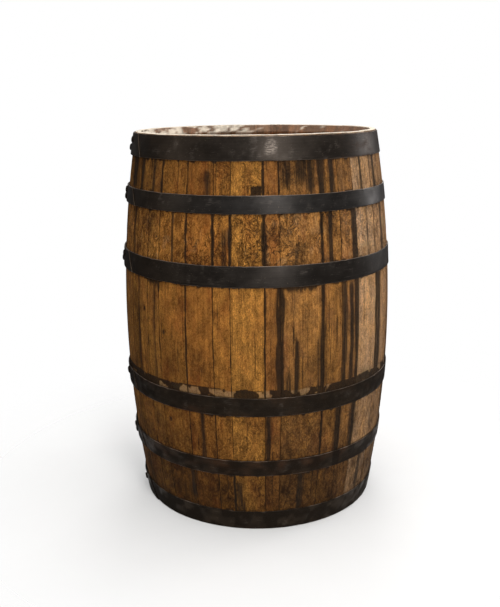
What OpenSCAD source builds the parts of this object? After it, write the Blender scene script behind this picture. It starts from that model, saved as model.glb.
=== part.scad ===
// Oak barrel for wine or spirits: tapered staves held by six riveted steel hoops,
// a dowelled head let into the croze at each end, and a tapered bung in the bilge.
// Millimetres, +Z up. The origin is the centre of the foot, and the bung faces +Y.

/* [Barrel] */
// Height over the stave ends
height = 900; // [850:5:960]
// Diameter over the staves at the bilge, halfway up
bilge_d = 650; // [630:5:690]
// Diameter over the staves at each end
end_d = 569; // [560:1:600]
// Width of each stave, measured round the bilge; the set is scaled to close the ring
stave_widths = [29, 50, 42, 77, 66, 39, 74, 35, 98, 51, 47, 80, 56,
                62, 45, 71, 58, 84, 66, 79, 52, 66.5, 96, 60,
                74, 48, 68, 81, 55, 92, 64, 64]; // [25:1:110]
// Place in that list of the stave that carries the bung, counting from 0
bung_stave = 22; // [1:1:31]
// Thickness of a stave
stave_t = 27; // [22:1:30]
// Gap left at each stave joint, measured round the bilge
joint_gap = 0.1; // [0.05:0.05:0.3]

/* [Stave ends] */
// Width of the flat that a stave stands on
rim_w = 13; // [8:1:18]
// Depth of the bevel inside the rim
bevel_depth = 18; // [10:1:22]
// Chamfer on the outer corner of each end
edge_chamfer = 2; // [1:0.5:4]
// Distance from the stave end to the middle of the croze, the groove for the head
croze_z = 43; // [38:1:55]
// Depth of the croze
croze_depth = 6; // [4:0.5:8]

/* [Heads] */
// Thickness of a head
head_t = 24; // [20:1:26]
// Widths of a head's boards, side by side; the last one takes what is left
board_widths = [79, 98, 88, 103, 92]; // [70:1:110]
// Turn of the top head's boards about the axis, in degrees
top_head_turn = 14; // [-90:1:90]
// Turn of the bottom head's boards, in degrees
bottom_head_turn = -31; // [-90:1:90]
// Diameter of the dowels between the boards
dowel_d = 10; // [8:1:12]
// Length of a dowel
dowel_length = 46; // [36:2:56]
// Distance of each dowel from the middle of its joint
dowel_offset = 110; // [80:5:130]

/* [Hoops] */
// Thickness of the hoop strip
hoop_t = 1.8; // [1.5:0.1:2.4]
// Play between a hoop and the staves
hoop_play = 0.1; // [0.05:0.05:0.2]
// Width of each hoop, from the bottom one up
hoop_widths = [48, 38, 43, 46, 38, 50]; // [30:1:55]
// Height of each hoop's lower edge, from the bottom one up
hoop_heights = [3, 146, 295, 585, 739, 847]; // [3:1:850]
// Length of the lap at a hoop's joint
lap_length = 170; // [70:2:180]
// Direction of the middle of the laps, in degrees from +X
lap_direction = 190; // [100:1:260]
// Diameter of a hoop rivet's head
rivet_head_d = 16; // [12:1:18]
// Height of a rivet's head
rivet_head_h = 4; // [3:0.5:5]
// Diameter of a rivet's shank
rivet_d = 8; // [6:0.5:9]
// Spacing of a hoop's two rivets, round the hoop
rivet_spacing = 44; // [30:2:60]

/* [Bung] */
// Diameter of the bung at the outside of the stave
bung_d = 52; // [44:1:60]
// Length of the bung
bung_length = 38; // [32:1:45]
// How far the bung stands out of the stave
bung_proud = 3; // [0:1:5]
// Taper of the bung on its diameter, as one in so many
bung_taper = 12; // [8:1:20]
// Radial play between the bung and its hole
bung_play = 0.05; // [0.02:0.01:0.1]

/* [Hidden] */
$fn = 96;
HOOPS = ["bottom_head_hoop", "lower_quarter_hoop", "lower_bilge_hoop",
         "upper_bilge_hoop", "upper_quarter_hoop", "top_head_hoop"];
stave_count = len(stave_widths);
board_count = len(board_widths) + 1;
STAVES = [for (i = [0 : stave_count - 1]) i == bung_stave ? "bung_stave" : numbered("stave", i)];
TOP_BOARDS = [for (i = [0 : board_count - 1]) numbered("top_head_board", i)];
BOTTOM_BOARDS = [for (i = [0 : board_count - 1]) numbered("bottom_head_board", i)];
RIVETS = [for (name = HOOPS) str(name, "_rivets")];

oak = [0.55, 0.37, 0.19];
end_oak = [0.62, 0.46, 0.29];
dowel_oak = [0.72, 0.56, 0.36];
iron = [0.13, 0.12, 0.12];
rivet_iron = [0.20, 0.19, 0.18];

middle_z = height / 2;
arc_steps = 18;
hoop_steps = 4;
drop = (bilge_d - end_d) / 2;
arc_r = (middle_z * middle_z + drop * drop) / (2 * drop);
degrees_per_mm = 360 / sum_to(stave_widths, stave_count);
first_angle = 90 - (sum_to(stave_widths, bung_stave) + stave_widths[bung_stave] / 2) * degrees_per_mm;

// The croze's trapezoid and the bevelled tongue that the head puts into it
croze_mouth = 12;
croze_floor = 5;
tongue_t = 4.4;
tongue_play = 0.4;
head_r = inside_r(croze_z) + croze_depth - tongue_play;
head_bevel_outer = 20;
head_bevel_inner = 15;
board_gap = 0.1;
dowel_play = 0.05;
// Sideways shift of the dowels in every other joint
dowel_stagger = 2 * dowel_d;

// Each rivet sits this share of the hoop's width above or below the middle of the hoop
rivet_offset = 0.2;
rivet_play = 0.05;
// Length of the cutter for a rivet's hole, and how far other cutters run past what they cut
rivet_bore_length = 8 * hoop_t;
overrun = 1;

// "stave", 4 -> "stave_05"
function numbered(name, i) = str(name, "_", i < 9 ? "0" : "", i + 1);

// Sum of the first n numbers of a list
function sum_to(list, n) = n <= 0 ? 0 : list[n - 1] + sum_to(list, n - 1);

// Radius over the staves, and inside them, at a height
function outside_r(z) = bilge_d / 2 - arc_r + sqrt(arc_r * arc_r - (z - middle_z) * (z - middle_z));
function inside_r(z) = outside_r(z) - stave_t;

// Inner side of a stave's foot, from the end inwards, as [radius, height]
function foot_profile() = [
    [outside_r(0) - rim_w, 0],
    [inside_r(bevel_depth), bevel_depth],
    [inside_r(croze_z - croze_mouth / 2), croze_z - croze_mouth / 2],
    [inside_r(croze_z) + croze_depth, croze_z - croze_floor / 2],
    [inside_r(croze_z) + croze_depth, croze_z + croze_floor / 2],
    [inside_r(croze_z + croze_mouth / 2), croze_z + croze_mouth / 2]
];

function flipped(points) = [for (i = [len(points) - 1 : -1 : 0]) [points[i][0], height - points[i][1]]];
function reversed(points) = [for (i = [len(points) - 1 : -1 : 0]) points[i]];

// Section through a stave along its length
function stave_profile() =
    let (low = edge_chamfer,
         high = height - edge_chamfer,
         inner_low = croze_z + 2 * croze_mouth,
         inner_high = height - inner_low,
         outer = [for (i = [0 : arc_steps])
             let (z = low + (high - low) * i / arc_steps) [outside_r(z), z]],
         inner = [for (i = [0 : arc_steps])
             let (z = inner_high + (inner_low - inner_high) * i / arc_steps) [inside_r(z), z]])
    concat([[outside_r(0) - edge_chamfer, 0]], outer, [[outside_r(0) - edge_chamfer, height]],
           flipped(reversed(foot_profile())), inner, reversed(foot_profile()));

// A wedge of the barrel's wall, as wide as one stave
module stave_blank(i) {
    start = first_angle + (sum_to(stave_widths, i) + joint_gap / 2) * degrees_per_mm;
    rotate([0, 0, start])
        rotate_extrude(angle = (stave_widths[i] - joint_gap) * degrees_per_mm)
            polygon(stave_profile());
}

module stave(i) {
    color(oak) {
        if (i == bung_stave)
            difference() {
                stave_blank(i);
                bung_shape(bung_play, stave_t);
            }
        else
            stave_blank(i);
    }
}

// The bung's tapered plug lying along +Y; extra lengthens it both ways along the same taper
module bung_shape(play, extra) {
    outer_y = bilge_d / 2 + bung_proud;
    slope = 1 / (2 * bung_taper);
    base_r = bung_d / 2 + play;
    translate([0, outer_y + extra, middle_z])
        rotate([90, 0, 0])
            cylinder(r1 = base_r + (bung_proud + extra) * slope,
                     r2 = base_r - (bung_length - bung_proud + extra) * slope,
                     h = bung_length + 2 * extra);
}

module bung() {
    color(end_oak) bung_shape(0, 0);
}

// Section of a strip laid round the staves, between two distances from them
function hoop_profile(low, width, inner_gap, outer_gap) =
    let (path = [for (i = [0 : hoop_steps])
             let (z = low + width * i / hoop_steps) [outside_r(z), z]])
    concat([for (p = path) [p[0] + inner_gap, p[1]]],
           [for (p = reversed(path)) [p[0] + outer_gap, p[1]]]);

function lap_angle(h) = lap_length / outside_r(hoop_heights[h]) * 180 / PI;

// Two layers of strip, with the outer one cut away except at the lap
module hoop_strip(h) {
    low = hoop_heights[h];
    width = hoop_widths[h];
    lap = lap_angle(h);
    difference() {
        rotate_extrude()
            polygon(hoop_profile(low, width, hoop_play, hoop_play + 2 * hoop_t));
        rotate([0, 0, lap_direction + lap / 2])
            rotate_extrude(angle = 360 - lap)
                polygon(hoop_profile(low - overrun, width + 2 * overrun,
                                     hoop_play + hoop_t, hoop_play + 3 * hoop_t));
    }
}

// Puts its children at a hoop's two rivets, square to the strip, with +Z outwards
module at_rivets(h) {
    z = hoop_heights[h] + hoop_widths[h] / 2;
    step = hoop_widths[h] * rivet_offset;
    turn = rivet_spacing / 2 / outside_r(z) * 180 / PI;
    for (side = [-1, 1]) {
        rivet_z = z + side * step;
        lean = asin((rivet_z - middle_z) / arc_r);
        rotate([0, 0, lap_direction + side * turn])
            translate([outside_r(rivet_z) + hoop_play, 0, rivet_z])
                rotate([0, 90 - lean, 0])
                    children();
    }
}

module hoop(h) {
    color(iron)
        difference() {
            hoop_strip(h);
            at_rivets(h)
                cylinder(d = rivet_d, h = rivet_bore_length, center = true);
        }
}

// A domed rivet through both layers of the lap, peened flush inside
module rivet() {
    base = 2 * hoop_t + rivet_play;
    dome_r = (rivet_head_d * rivet_head_d / 4 + rivet_head_h * rivet_head_h) / (2 * rivet_head_h);
    translate([0, 0, 2 * rivet_play])
        cylinder(d = rivet_d - 2 * rivet_play, h = base);
    translate([0, 0, base])
        intersection() {
            cylinder(d = rivet_head_d, h = rivet_head_h);
            translate([0, 0, rivet_head_h - dome_r]) sphere(r = dome_r);
        }
}

module hoop_rivets(h) {
    color(rivet_iron) at_rivets(h) rivet();
}

// A whole head as one disc: bevelled on both faces down to the tongue that enters the croze
module head_disc() {
    low = croze_z - head_t / 2;
    high = croze_z + head_t / 2;
    rotate_extrude()
        polygon([
            [0, low], [head_r - head_bevel_outer, low],
            [head_r, croze_z - tongue_t / 2], [head_r, croze_z + tongue_t / 2],
            [head_r - head_bevel_inner, high], [0, high]
        ]);
}

// Place of the joint before board i, across the head
function joint_y(i) =
    i <= 0 ? -head_r - overrun :
    i >= board_count ? head_r + overrun :
    sum_to(board_widths, i) - head_r;

// The dowels of joint i lie across it, in the middle of the head's thickness
module joint_dowels(i, play) {
    length = dowel_length + 4 * play;
    for (side = [-1, 1])
        translate([side * dowel_offset + (i % 2) * dowel_stagger, joint_y(i), croze_z])
            rotate([90, 0, 0])
                cylinder(d = dowel_d + 2 * play, h = length, center = true);
}

module head_board(i) {
    low = joint_y(i) + board_gap / 2;
    high = joint_y(i + 1) - board_gap / 2;
    difference() {
        intersection() {
            head_disc();
            translate([-head_r - overrun, low, 0])
                cube([2 * (head_r + overrun), high - low, 2 * croze_z]);
        }
        if (i > 0) joint_dowels(i, dowel_play);
        if (i < board_count - 1) joint_dowels(i + 1, dowel_play);
    }
}

module head_dowels() {
    for (i = [1 : board_count - 1]) joint_dowels(i, 0);
}

// Sets a head in the bottom croze, or in the top one
module in_bottom_croze() {
    rotate([0, 0, bottom_head_turn]) children();
}

module in_top_croze() {
    translate([0, 0, height]) mirror([0, 0, 1]) rotate([0, 0, top_head_turn]) children();
}

for (i = [0 : stave_count - 1])
    stave(i);
for (h = [0 : len(HOOPS) - 1]) {
    hoop(h);
    hoop_rivets(h);
}
for (i = [0 : board_count - 1]) {
    color(end_oak) in_top_croze() head_board(i);
    color(end_oak) in_bottom_croze() head_board(i);
}
color(dowel_oak) in_top_croze() head_dowels();  // top_head_dowels
color(dowel_oak) in_bottom_croze() head_dowels();  // bottom_head_dowels
bung();
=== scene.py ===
"""Looks of the oak barrel: weathered staves, dark steel hoops, rivets, heads and bung.

Metres, +Z up, origin at the centre of the foot. An angle "t" is in degrees round the barrel,
0 on the side away from the bung (-Y) and positive towards +X.
"""

import math

import bpy
import numpy as np
from mathutils import Matrix, Vector
from mathutils.kdtree import KDTree


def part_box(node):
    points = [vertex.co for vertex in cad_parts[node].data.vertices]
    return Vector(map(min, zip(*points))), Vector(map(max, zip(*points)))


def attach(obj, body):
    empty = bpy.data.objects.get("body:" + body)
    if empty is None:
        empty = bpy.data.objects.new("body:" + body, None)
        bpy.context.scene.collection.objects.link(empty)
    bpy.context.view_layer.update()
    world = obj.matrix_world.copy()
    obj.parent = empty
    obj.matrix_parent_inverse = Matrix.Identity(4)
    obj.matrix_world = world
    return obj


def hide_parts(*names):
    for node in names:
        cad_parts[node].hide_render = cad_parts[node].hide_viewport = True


MM = 0.001

# Section of a stave at its ends: distance from the end, and thickness of the wall there
END_DEPTHS = np.array([0, 18, 37, 40.5, 45.5, 49]) * MM
END_WALLS = np.array([13, 27, 27, 21, 21, 27]) * MM
HEAD_T = 24 * MM
HEAD_R = 270.7 * MM
TONGUE_T = 4.4 * MM
BEVEL_OUTER = 20 * MM
BEVEL_INNER = 15 * MM
TOP_HEAD_TURN = math.radians(14)
BOTTOM_HEAD_TURN = math.radians(-31)
HOOP_T = 1.8 * MM
HOOP_PLAY = 0.3 * MM
LAP_LENGTH = 170 * MM
RAMP_LENGTH = 35 * MM
HOOP_STEPS = 470
LAP_STEPS = 70
BUNG_PLAY = 0.1 * MM
CUTTER_PAST = 0.03
SCORCH_REACH = 0.016
RIVET_HEAD_R = 8 * MM
RIVET_HEAD_H = 3.9 * MM
RIVET_SHANK_R = 3.95 * MM

# Floor: radius, depth below the foot, where its fade starts and ends, and strength in the middle
FLOOR_R = 5
FLOOR_DROP = 0.4 * MM
FLOOR_FADE = (0.34, 1.05)
FLOOR_STRENGTH = 0.62
FLOOR_SIDES = 96

# Camera: the barrel seen from a little above its rim, 2 m away
CAMERA_PLACE = Vector((0, -2.002, 0.985))
CAMERA_DOWN = math.radians(14.45)
CAMERA_YAW = math.radians(-0.50)
CAMERA_ROLL = math.radians(-0.67)
CAMERA_LENS = 48.68

HOOPS = ["bottom_head_hoop", "lower_quarter_hoop", "lower_bilge_hoop",
         "upper_bilge_hoop", "upper_quarter_hoop", "top_head_hoop"]
STAVE_COUNT = 32
BUNG_STAVE = 23
STAVES = ["bung_stave" if i == BUNG_STAVE else f"stave_{i:02d}" for i in range(1, STAVE_COUNT + 1)]
# Places in HOOPS and STAVES of those that have marks or grain of their own
LOWER_QUARTER = 1
LOWER_BILGE = 2
UPPER_BILGE = 3
TOP_HEAD = 5
ARCHED_STAVE = 11
HEAD_BOARDS = 6
OCTAVES = 3


# ---- repeatable noise

def lattice(ix, iy, seed):
    """Pseudo-random numbers from 0 to 1 at whole-number points."""
    h = (ix.astype(np.int64) * 374761393 + iy.astype(np.int64) * 668265263 + seed * 1442695041) & 0xFFFFFFFF
    h = ((h ^ (h >> 13)) * 1274126177) & 0xFFFFFFFF
    return ((h ^ (h >> 16)) & 0xFFFFFF) / 0xFFFFFF


def noise(x, y, seed):
    """Smooth noise from 0 to 1 over two coordinates, one feature per unit."""
    x, y = np.broadcast_arrays(np.asarray(x, float), np.asarray(y, float))
    ix = np.floor(x)
    iy = np.floor(y)
    fx = x - ix
    fy = y - iy
    fx = fx * fx * (3 - 2 * fx)
    fy = fy * fy * (3 - 2 * fy)
    near = lattice(ix, iy, seed) * (1 - fx) + lattice(ix + 1, iy, seed) * fx
    far = lattice(ix, iy + 1, seed) * (1 - fx) + lattice(ix + 1, iy + 1, seed) * fx
    return near * (1 - fy) + far * fy


def rough_noise(x, y, seed):
    """Noise with finer and finer detail, from 0 to 1."""
    total = 0
    size = 0
    for octave in range(OCTAVES):
        gain = 0.5 ** octave
        total = total + gain * noise(x * 2 ** octave, y * 2 ** octave, seed + 17 * octave)
        size += gain
    return total / size


def smooth(value, low, high):
    """0 below low, 1 above high, and a smooth step between."""
    x = np.clip((value - low) / (high - low), 0, 1)
    return x * x * (3 - 2 * x)


def between(value, rise, full, fall, gone):
    """0 below rise and above gone, 1 from full to fall, and smooth steps between."""
    return smooth(value, rise, full) * smooth(-value, -gone, -fall)


def bell(distance, size):
    """1 at no distance, falling away smoothly over a size."""
    return np.exp(-(distance / size) ** 2)


def eased(radius, distance):
    """Depth of an edge's rounding at a distance in from the edge."""
    return radius - np.sqrt(np.maximum(radius ** 2 - np.clip(radius - distance, 0, None) ** 2, 0))


def facing(angle):
    """Angle t of an angle in radians from +X."""
    return (np.degrees(angle) + 270) % 360 - 180


def apart(t, angle):
    """Degrees from an angle to t, the short way round."""
    return (t - angle + 180) % 360 - 180


# ---- shape of the barrel

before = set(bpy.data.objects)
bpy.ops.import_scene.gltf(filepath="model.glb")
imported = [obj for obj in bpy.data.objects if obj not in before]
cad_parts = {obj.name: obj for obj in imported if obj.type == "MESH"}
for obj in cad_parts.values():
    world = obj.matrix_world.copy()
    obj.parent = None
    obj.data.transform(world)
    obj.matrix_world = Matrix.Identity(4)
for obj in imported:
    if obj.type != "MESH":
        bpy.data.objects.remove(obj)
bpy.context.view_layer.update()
HEIGHT = max(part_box(name)[1].z for name in STAVES)


def node_points(name):
    """A CAD node's vertices at rest."""
    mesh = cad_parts[name].data
    points = np.empty(len(mesh.vertices) * 3)
    mesh.vertices.foreach_get("co", points)
    return points.reshape(-1, 3)


def read_arc():
    """Bilge radius, and radius of the staves' curve, from one stave's outer face."""
    points = node_points(STAVES[0])
    radius = np.hypot(points[:, 0], points[:, 1])
    low_z = points[radius > radius.max() - 0.1, 2]
    low_z = low_z[low_z > 1 * MM].min()
    low_r = radius[np.abs(points[:, 2] - low_z) < 0.1 * MM].max()
    drop = radius.max() - low_r
    half = HEIGHT / 2 - low_z
    return radius.max(), (half * half + drop * drop) / (2 * drop)


BILGE_R, ARC_R = read_arc()


def outside_r(z):
    """Radius over the staves at a height."""
    return BILGE_R - ARC_R + np.sqrt(ARC_R ** 2 - (z - HEIGHT / 2) ** 2)


def wall(z):
    """Thickness of the staves at a height, with the bevel and the croze at each end."""
    return np.interp(np.minimum(z, HEIGHT - z), END_DEPTHS, END_WALLS)


def hoop_span(name):
    """Lowest and highest point of a hoop."""
    low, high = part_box(name)
    return low.z, high.z


HOOP_SPANS = [hoop_span(name) for name in HOOPS]


# ---- meshes

def add_object(name, data):
    """Puts a new object into the scene."""
    piece = bpy.data.objects.new(name, data)
    bpy.context.scene.collection.objects.link(piece)
    return piece


def ring_mesh(name, rings, attributes, flip=False, sharp=35):
    """A closed solid from rings of points, capped at both ends.

    rings is (rings, points, 3); attributes maps a name to an array over the same points, with
    one number or three at each.
    """
    count, around = rings.shape[:2]
    i, j = np.meshgrid(np.arange(count - 1), np.arange(around), indexing="ij")
    k = (j + 1) % around
    quads = np.stack([i * around + j, i * around + k, (i + 1) * around + k, (i + 1) * around + j], -1)
    faces = quads.reshape(-1, 4).tolist()
    faces.append(list(range(around - 1, -1, -1)))
    faces.append(list(range((count - 1) * around, count * around)))
    if flip:
        faces = [face[::-1] for face in faces]
    mesh = bpy.data.meshes.new(name)
    mesh.from_pydata(rings.reshape(-1, 3).tolist(), [], faces)
    for key, values in attributes.items():
        values = np.ascontiguousarray(values, np.float32)
        wide = values.ndim == 3
        layer = mesh.attributes.new(key, "FLOAT_VECTOR" if wide else "FLOAT", "POINT")
        layer.data.foreach_set("vector" if wide else "value", values.ravel())
    mesh.polygons.foreach_set("use_smooth", [True] * len(mesh.polygons))
    mesh.set_sharp_from_angle(angle=math.radians(sharp))
    mesh.update()
    return add_object(name, mesh)


def place(piece, material, slot, body, *nodes):
    """Gives a piece its material and its body, and hides the CAD nodes that it stands for."""
    piece.data.materials.clear()
    piece.data.materials.append(material)
    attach(piece, body)
    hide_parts(*nodes)


# ---- marks on the staves

# Knots: angle, height, radius in mm
KNOTS = [(-52, 0.512, 9), (-40, 0.470, 7), (-39, 0.262, 8), (92, 0.66, 10), (133, 0.41, 8),
         (176, 0.70, 7), (-152, 0.23, 11), (-118, 0.55, 9)]
# Black streaks that run down the grain: angle, lowest, highest, half width in mm, strength
STREAKS = [
    (8.7, 0.34, 0.585, 8.5, 1.05), (15.2, 0.34, 0.46, 6, 0.9),
    (12, 0.34, 0.39, 9, 0.6), (26.3, 0.338, 0.585, 6, 1.1), (24.4, 0.338, 0.46, 4, 0.5),
    (30.6, 0.60, 0.742, 7, 0.9), (36.6, 0.34, 0.585, 7, 0.8), (40.4, 0.36, 0.57, 8, 0.85),
    (43.4, 0.338, 0.585, 8, 1), (60.5, 0.338, 0.585, 14, 0.85), (43.2, 0.63, 0.742, 9, 1),
    (4, 0.186, 0.292, 7, 0.7), (34.5, 0.186, 0.292, 12, 0.85), (43.2, 0.186, 0.292, 10, 0.85),
    (27.6, 0.777, 0.847, 9, 1), (32.2, 0.777, 0.847, 8, 0.95), (12.2, 0.80, 0.847, 13, 0.7),
    (18.5, 0.815, 0.847, 15, 0.7), (22.5, 0.79, 0.847, 11, 0.75), (-66, 0.79, 0.847, 18, 0.9),
    (-57, 0.34, 0.585, 8, 0.6), (-45.5, 0.34, 0.585, 6, 0.5), (-23, 0.186, 0.292, 7, 0.6),
    (-12.5, 0.63, 0.70, 6, 0.55), (-35.5, 0.63, 0.742, 5, 0.6),
    (16, 0.63, 0.66, 7, 0.65), (-48, 0.777, 0.847, 8, 0.65), (-20, 0.777, 0.82, 7, 0.6),
    (-57.5, 0.777, 0.847, 8, 0.75), (50, 0.777, 0.847, 8, 0.6), (62, 0.777, 0.847, 8, 0.7),
    (52.5, 0.63, 0.742, 6, 0.6), (66, 0.63, 0.742, 9, 0.65), (-62, 0.63, 0.742, 6, 0.6),
    (74, 0.34, 0.585, 10, 0.6), (74, 0.05, 0.29, 12, 0.65), (52, 0.06, 0.146, 11, 0.65),
    (18, 0.05, 0.146, 10, 0.65), (-8, 0.05, 0.12, 11, 0.6), (-30, 0.08, 0.146, 10, 0.6),
    (105, 0.34, 0.585, 9, 0.9), (128, 0.63, 0.742, 9, 0.8), (150, 0.34, 0.50, 8, 0.8),
    (-165, 0.186, 0.292, 10, 0.85), (-142, 0.34, 0.585, 9, 0.85), (-110, 0.777, 0.847, 10, 0.9)]
# Seams that leak the most: angle, lowest, highest, stain to each side in mm
LEAKS = [(3, 0.63, 0.742, 11), (-17, 0.63, 0.742, 7), (-10.1, 0.63, 0.742, 7),
         (-28.7, 0.63, 0.742, 4), (26.6, 0.63, 0.742, 8), (3, 0.338, 0.585, 3),
         (35.6, 0.184, 0.295, 7), (44, 0.184, 0.742, 6), (-42.4, 0.56, 0.63, 6),
         (-28.7, 0.338, 0.585, 3), (58.2, 0.338, 0.585, 8), (26.6, 0.184, 0.585, 5),
         (9.2, 0.777, 0.847, 4), (-10.1, 0.05, 0.146, 5), (3, 0.777, 0.85, 5),
         (-42.4, 0.777, 0.847, 5)]
# A seam is taken to be a listed one within this many degrees of its angle
LEAK_REACH = 4
# Worn pale patches: angle, height, half width in degrees, half height in mm
SCUFFS = [(-34, 0.347, 4.5, 8), (19, 0.350, 1.6, 6), (51, 0.655, 6, 5), (70, 0.69, 6, 20),
          (51, 0.36, 5, 10), (110, 0.35, 6, 7), (160, 0.345, 8, 6), (-140, 0.35, 7, 8)]
# Tone, greyness and redness of the staves that face t = 0, from the one that starts at t = -64
FRONT_TONES = [(-0.14, 0.06, 0.1), (-0.06, 0.05, 0.15), (-0.02, 0.05, 0.05), (-0.02, 0.02, 0.2),
               (0.02, 0.02, 0.35), (0.02, 0.02, 0.2), (0.22, 0.03, 0.0), (-0.02, 0.08, 0.38),
               (-0.10, 0.14, 0.15), (-0.02, 0.12, 0.15), (-0.02, 0.20, 0.2), (0.40, 0.60, 0.0),
               (0.22, 0.55, 0.1), (0.08, 0.5, 0.1)]
# Tone of the wood at each height, darker towards the foot
HEIGHT_TONES = [(0.05, -0.50), (0.146, -0.46), (0.184, -0.24), (0.295, -0.22), (0.338, -0.18),
                (0.46, 0.0), (0.585, 0.12), (0.630, 0.18), (0.740, 0.20), (0.777, -0.06), (0.850, -0.12)]


def hoop_stain_and_shadow(t, z):
    """Black stain that steel leaves on oak, with a painted shadow of the hoop: ragged, below each hoop,
    where stain and painted shadow lie together, and thin above it, where it is stain only.
    """
    stain = np.zeros_like(z)
    for h, (low, high) in enumerate(HOOP_SPANS):
        ragged = 0.55 * noise(t / 1.1, 0, 60 + h) + 0.45 * noise(t / 4.5, 0, 90 + h)
        reach = (1.2 + 8 * smooth(ragged, 0.5, 0.95)) * MM
        if h == UPPER_BILGE:
            runs = between(t, 6, 10, 20, 27) + between(t, -52, -48, -44, -40)
            reach = reach + 16 * MM * runs * (0.4 + 0.9 * noise(t / 0.6, 0, 95))
        # Below the hoop the dark fringe is iron stain and painted shadow of the hoop together
        below = (low - z) / reach
        stain = np.maximum(stain, np.where(below > -0.2, 0.9 * smooth(-below, -1.3, 0), 0))
        above = (z - high) / ((1.0 + 3 * smooth(ragged, 0.5, 0.9)) * MM)
        stain = np.maximum(stain, np.where(above > -0.5, 0.7 * smooth(-above, -1.3, 0), 0))
    return stain


def near_hoop_dirt_and_shade(z):
    """Nearness to the edge of a hoop, from 0 to 1, where dirt gathers and a painted shade of the hoop
    darkens the wood.
    """
    nearest = np.full_like(z, 1.0)
    for low, high in HOOP_SPANS:
        nearest = np.minimum(nearest, np.maximum(low - z, z - high))
    return np.exp(-np.maximum(nearest, 0) / (7 * MM))


def old_hoop_band(t, z):
    """Where the lower bilge hoop used to sit, a little higher than now: black and pale patches."""
    top = HOOP_SPANS[LOWER_BILGE][1]
    edge = top + (17.5 + 3 * noise(t / 5, 0, 301) + 0.8 * noise(t / 0.6, 0, 302)) * MM
    band = smooth(edge - z, 0, 1.2 * MM) * smooth(z - top, -6 * MM, 0)
    line = smooth(1.4 * MM - np.abs(z - edge + 1.2 * MM), 0, 1.2 * MM)
    line = line * (0.45 + 0.5 * noise(t / 3.1, 0, 304))
    lens = smooth(1 - np.hypot((t + 4.5) / 5.5, (z - top - 6 * MM) / (14 * MM)), 0, 0.18)
    chipped = rough_noise(t / 3.6, z / (26 * MM), 303) - 0.12 * smooth(np.abs(t), 20, 40)
    bare = smooth(chipped, 0.43, 0.53) * (1 - lens)
    black = np.maximum.reduce([band * (1 - bare), line, lens])
    return 0.95 * black, band * bare * smooth(edge - z, 2 * MM, 4 * MM)


def hoop_scar(t, z):
    """A square black scar above the upper quarter hoop."""
    ragged_t = t + 0.5 * (noise(z / (2 * MM), 0, 311) - 0.5)
    ragged_z = z + 5 * MM * (noise(t / 0.5, 0, 312) - 0.5)
    return between(ragged_t, -2.4, -1.9, 1.9, 2.4) * between(ragged_z, 0.770, 0.775, 0.794, 0.799)


def drawn_streaks(t, z):
    """The listed black streaks, with frayed sides and ends that run out along the grain."""
    stain = np.zeros_like(z)
    degree = np.radians(1) * outside_r(z)
    slivers = 0.6 * noise(t / 0.45, z / 0.07, 404) + 0.4 * noise(t / 0.22, z / 0.04, 405)
    fade = (8 + 45 * slivers) * MM
    for n, (angle, low, high, width, strength) in enumerate(STREAKS):
        waver = angle + 0.4 * (noise(z / 0.11, n, 401) - 0.5)
        across = np.abs(apart(t, waver)) * degree / (width * MM)
        across = across * (0.75 + 0.5 * noise(z / 0.06, n, 402)) + 0.9 * (slivers - 0.5)
        core = 0.72 * smooth(-across, -1.1, -0.2) + 0.33 * smooth(-across, -2.6, -0.4)
        along = between(z, low - fade, low + 4 * MM, high - 4 * MM, high + fade)
        stain = np.maximum(stain, strength * along * core)
    return stain * (0.62 + 0.75 * rough_noise(t / 0.6, z / 0.05, 403))


def leak_width(t, z):
    """Extra width of the stain at the seams that leak the most, in metres."""
    width = np.zeros_like(z)
    for angle, low, high, spread in LEAKS:
        near = np.abs(apart(t, angle)) < LEAK_REACH
        inside = between(z, low - 5 * MM, low + 5 * MM, high - 5 * MM, high + 5 * MM)
        width = np.maximum(width, np.where(near, spread * MM * inside, 0))
    return width


def scuff_marks(t, z):
    """Pale worn patches with ragged edges."""
    pale = np.zeros_like(z)
    for n, (angle, height, half_t, half_mm) in enumerate(SCUFFS):
        away = np.hypot(apart(t, angle) / half_t, (z - height) / (half_mm * MM))
        away = away + 0.9 * (rough_noise(t / 1.6, z / (7 * MM), 500 + n) - 0.5)
        pale = np.maximum(pale, smooth(-away, -1.05, -0.55))
    return pale


def knot_marks(t, z):
    """Nearness to a knot from 0 to 1, and distance from it in metres."""
    nearness = np.zeros_like(z)
    distance = np.full_like(z, 1.0)
    for angle, height, radius in KNOTS:
        across = np.radians(apart(t, angle)) * outside_r(z)
        away = np.hypot(across, (z - height) / 1.5)
        nearness = np.maximum(nearness, bell(away, 2.2 * radius * MM))
        distance = np.minimum(distance, away)
    return nearness, distance


def band_roughness(z):
    """How coarse the wood's surface is at each height: most so between the upper hoops."""
    second = between(z, 0.62, 0.64, 0.735, 0.75)
    top = smooth(z, 0.77, 0.78)
    low = smooth(-z, -0.30, -0.28)
    return 0.6 + 1.3 * second + 0.5 * top + 0.45 * low


# ---- staves

def stave_angles(name):
    """First and last angle of a stave round the axis, in radians from +X."""
    points = node_points(name)
    middle = math.atan2(points[:, 1].mean(), points[:, 0].mean())
    turn = np.angle(np.exp(1j * (np.arctan2(points[:, 1], points[:, 0]) - middle)))
    return middle + turn.min(), middle + turn.max()


def stave_heights():
    """Heights of the rings of points along a stave, closer together at the ends."""
    ends = np.array([0, 0.5, 1.1, 1.8, 2.6, 4, 6.5, 9.5, 14, 18, 25, 31, 37, 40.5, 45.5, 49]) * MM
    middle = np.arange(0.052, HEIGHT - 0.051, 0.0027)
    return np.concatenate([ends, middle, HEIGHT - ends[::-1]])


def across_steps(width):
    """Distances across a stave's face, closer together at its edges."""
    edge = np.array([0, 0.35, 0.8, 1.4, 2.2, 3.2, 4.4]) * MM
    count = max(4, int(round((width - 2 * edge[-1]) / (1.5 * MM))))
    middle = np.linspace(edge[-1], width - edge[-1], count)
    return np.concatenate([edge[:-1], middle, width - edge[:-1][::-1]])


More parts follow.
